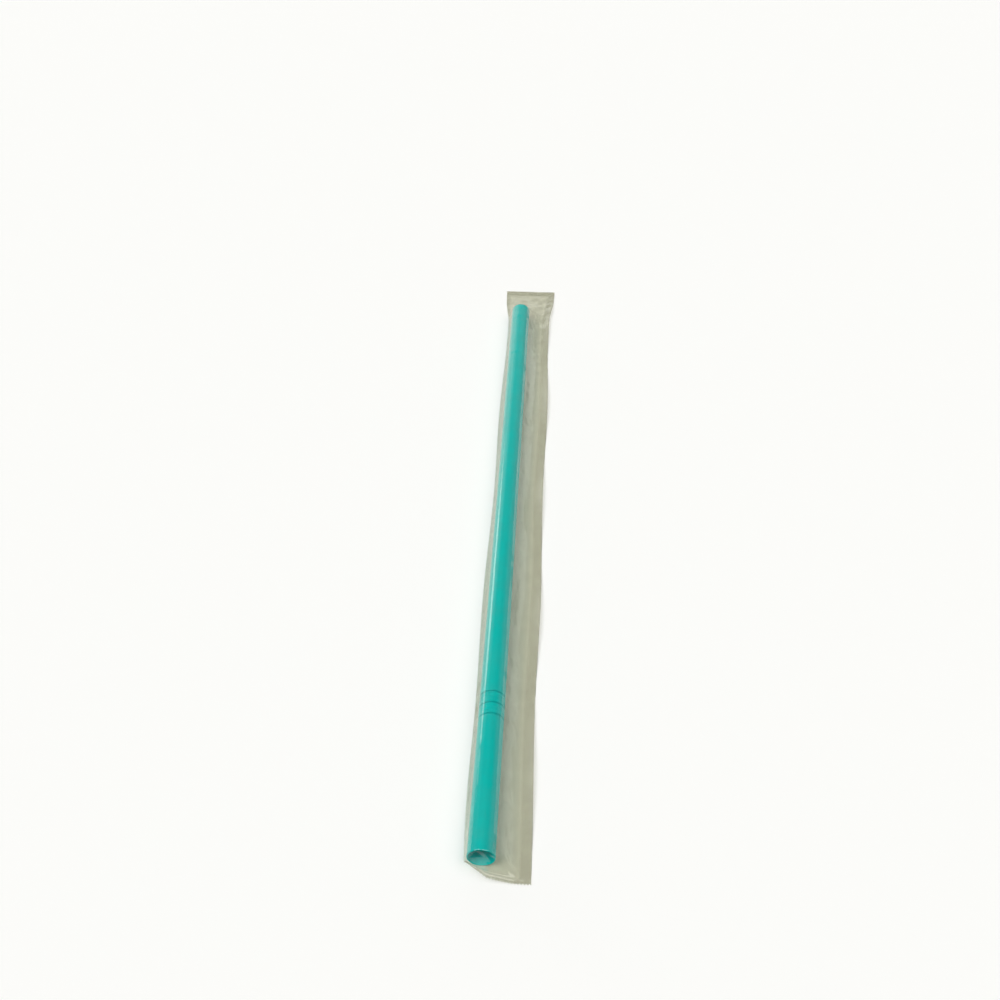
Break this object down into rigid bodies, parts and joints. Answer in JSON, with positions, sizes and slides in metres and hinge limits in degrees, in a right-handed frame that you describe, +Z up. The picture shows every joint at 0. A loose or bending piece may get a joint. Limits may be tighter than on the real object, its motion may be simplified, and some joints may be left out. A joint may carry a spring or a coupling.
{
  "type": "wrapped drinking straw",
  "caption": "Bendable plastic drinking straw sealed in a clear film sleeve, with crimped toothed ends and a flat sealed edge along one side.",
  "frame": {"origin": "middle of the footprint, on the surface that the pack lies on", "axes": "+Z up, +Y along the straw from the end with the bellows to the other end, +X towards the sealed long edge of the film"},
  "size_m": [0.0172, 0.2328, 0.0064],
  "materials": {
    "straw_plastic": "extruded polypropylene, teal, glossy",
    "clear_film": "clear polypropylene film, glossy, slightly hazy where it is crumpled"
  },
  "bodies": {
    "root": {"straw": "straw_plastic", "film_wrapper": "clear_film"}
  },
  "joints": []
}
